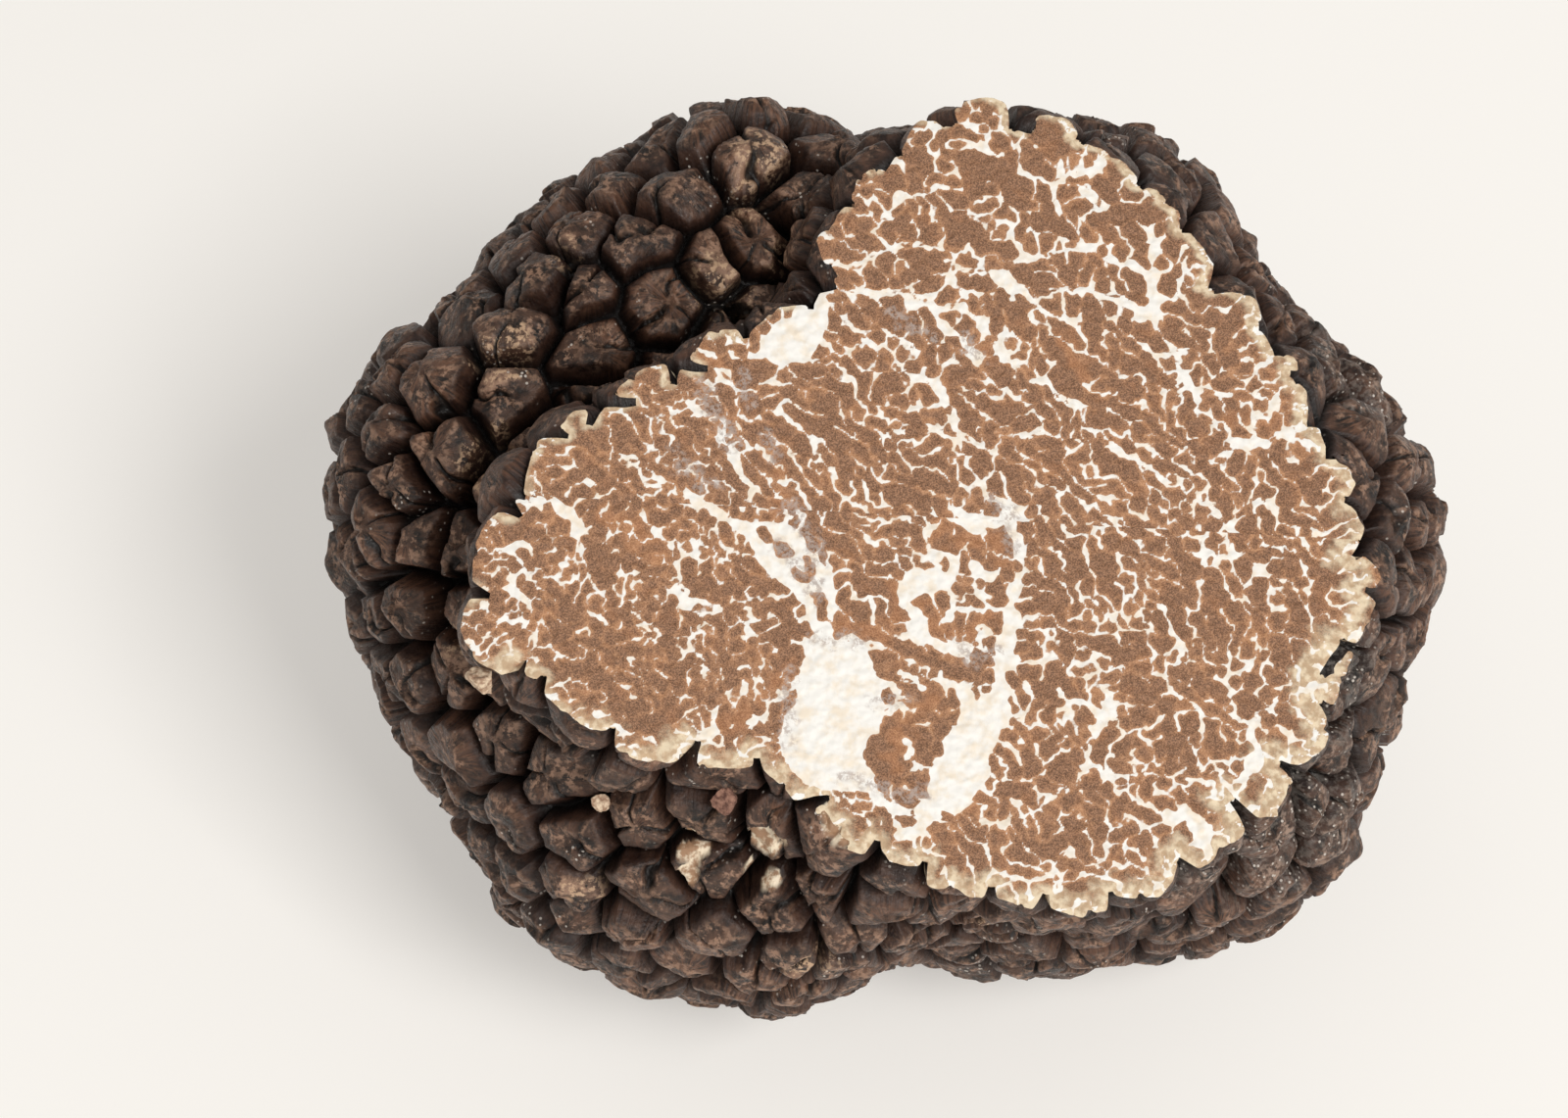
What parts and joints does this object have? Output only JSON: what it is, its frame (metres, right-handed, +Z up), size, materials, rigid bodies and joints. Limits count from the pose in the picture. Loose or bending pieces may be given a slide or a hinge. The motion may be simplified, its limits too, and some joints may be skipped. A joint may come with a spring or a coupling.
{
  "type": "truffle",
  "caption": "Autumn truffle with a black warty skin and a flat cut face of brown flesh with white veins; stands by itself on its pressed-flat underside.",
  "frame": {"origin": "centre of the bounding box's bottom, on the surface that the truffle rests on", "axes": "+Z up; +X along the longest extent, to the right as seen from the front; -Y to the front, where the cut face leans towards"},
  "size_m": [0.0662, 0.0572, 0.0505],
  "materials": {
    "skin": "matte",
    "flesh": "matte",
    "soil": "matte"
  },
  "bodies": {
    "root": {"truffle": "skin", "flesh_crumb": "flesh", "soil_grain": "soil", "skin_flake": "flesh"}
  },
  "joints": []
}
